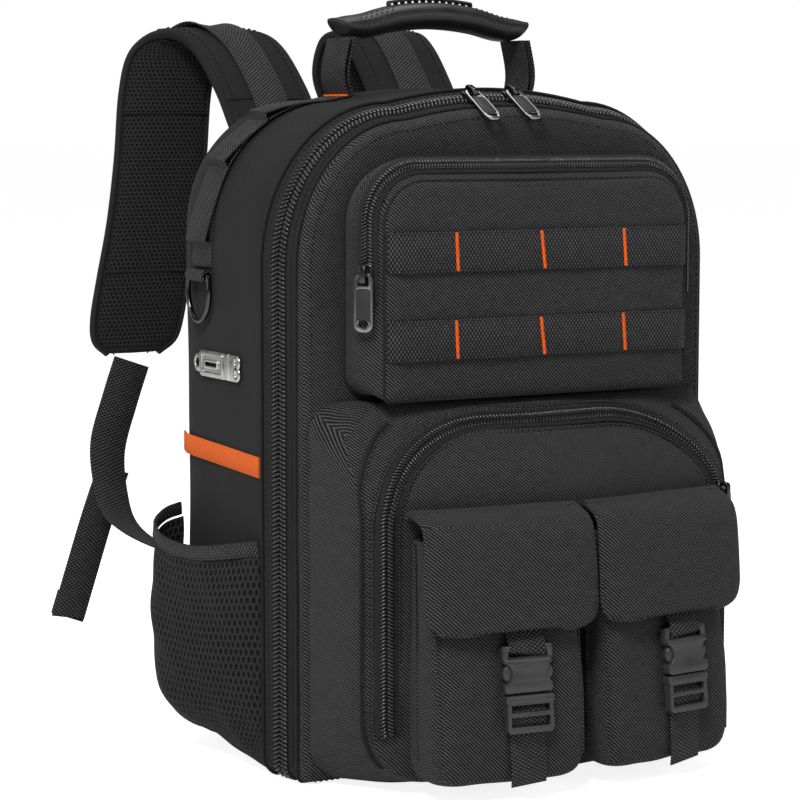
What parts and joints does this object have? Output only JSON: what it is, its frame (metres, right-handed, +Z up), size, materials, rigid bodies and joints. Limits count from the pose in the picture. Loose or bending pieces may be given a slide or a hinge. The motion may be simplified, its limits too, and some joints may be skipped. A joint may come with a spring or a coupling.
{
  "type": "tool backpack",
  "caption": "Backpack for hand tools with a zipped main compartment, zipped front pockets, flap pouches, a mesh side pocket, carrying handle and padded shoulder straps.",
  "frame": {"origin": "middle of the pack's flat bottom", "axes": "+Z up, -Y out of the pocket front, +X to the right of someone facing the front"},
  "size_m": [0.453, 0.4297, 0.5182],
  "materials": {
    "twill_cloth": "woven diagonal twill, matt",
    "plain_cloth": "plain weave, matt",
    "mesh_cloth": "open mesh, matt",
    "webbing": "ribbed woven webbing",
    "coil_zip": "nylon coil on woven tape, semi-gloss",
    "buckle_plastic": "satin moulded plastic",
    "grip_rubber": "moulded rubber, satin",
    "orange_elastic": "ribbed elastic",
    "clip_steel": "bright plated steel",
    "dark_metal": "dark plated metal"
  },
  "bodies": {
    "pack": {"back_shell": "plain_cloth", "front_shell": "twill_cloth", "main_zipper": "coil_zip", "upper_pocket": "twill_cloth", "upper_zipper": "coil_zip", "molle_row_upper": "webbing", "molle_row_lower": "webbing", "lower_compartment": "twill_cloth", "lower_zipper": "coil_zip", "pouch_left": "twill_cloth", "flap_left": "twill_cloth", "buckle_left_webbing": "webbing", "buckle_left_tail": "webbing", "buckle_left_socket": "buckle_plastic", "buckle_left_plug": "buckle_plastic", "pouch_right": "twill_cloth", "flap_right": "twill_cloth", "buckle_right_webbing": "webbing", "buckle_right_tail": "webbing", "buckle_right_socket": "buckle_plastic", "buckle_right_plug": "buckle_plastic", "mesh_pocket": "mesh_cloth", "mesh_binding": "webbing", "side_elastic": "orange_elastic", "tape_clip": "clip_steel", "daisy_chain": "webbing", "d_ring_loop": "webbing", "handle_leg_left": "webbing", "handle_leg_right": "webbing", "handle_grip": "grip_rubber", "slider_main_left": "dark_metal", "slider_main_right": "dark_metal", "slider_upper": "dark_metal", "slider_lower": "dark_metal", "back_panel": "mesh_cloth", "shoulder_pad_left": "plain_cloth", "strap_webbing_left": "webbing", "strap_tail_left": "webbing", "shoulder_pad_right": "plain_cloth", "strap_webbing_right": "webbing", "strap_tail_right": "webbing"},
    "pull_main_left": {"pull_main_left": "dark_metal"},
    "pull_main_right": {"pull_main_right": "dark_metal"},
    "pull_upper": {"pull_upper": "dark_metal"},
    "pull_lower": {"pull_lower": "dark_metal"},
    "ring": {"d_ring": "dark_metal"}
  },
  "joints": [
    {"name": "main_left_tab", "type": "hinge", "parent": "pack", "child": "pull_main_left", "pos_m": [-0.02, -0.05879, 0.45547], "axis": [1, 0, 0], "range_deg": [-130, 0]},
    {"name": "main_right_tab", "type": "hinge", "parent": "pack", "child": "pull_main_right", "pos_m": [0.012, -0.05879, 0.45585], "axis": [1, 0, 0], "range_deg": [-130, 0]},
    {"name": "upper_tab", "type": "hinge", "parent": "pack", "child": "pull_upper", "pos_m": [-0.12988, -0.1082, 0.338], "axis": [0.6084, -0.7936, 0], "range_deg": [-150, 0]},
    {"name": "lower_tab", "type": "hinge", "parent": "pack", "child": "pull_lower", "pos_m": [0.13207, -0.14372, 0.184], "axis": [0.9277, 0.3732, 0], "range_deg": [-150, 0]},
    {"name": "d_ring_swing", "type": "hinge", "parent": "pack", "child": "ring", "pos_m": [-0.1757, 0.043, 0.331], "axis": [0, 1, 0], "range_deg": [0, 80]}
  ]
}
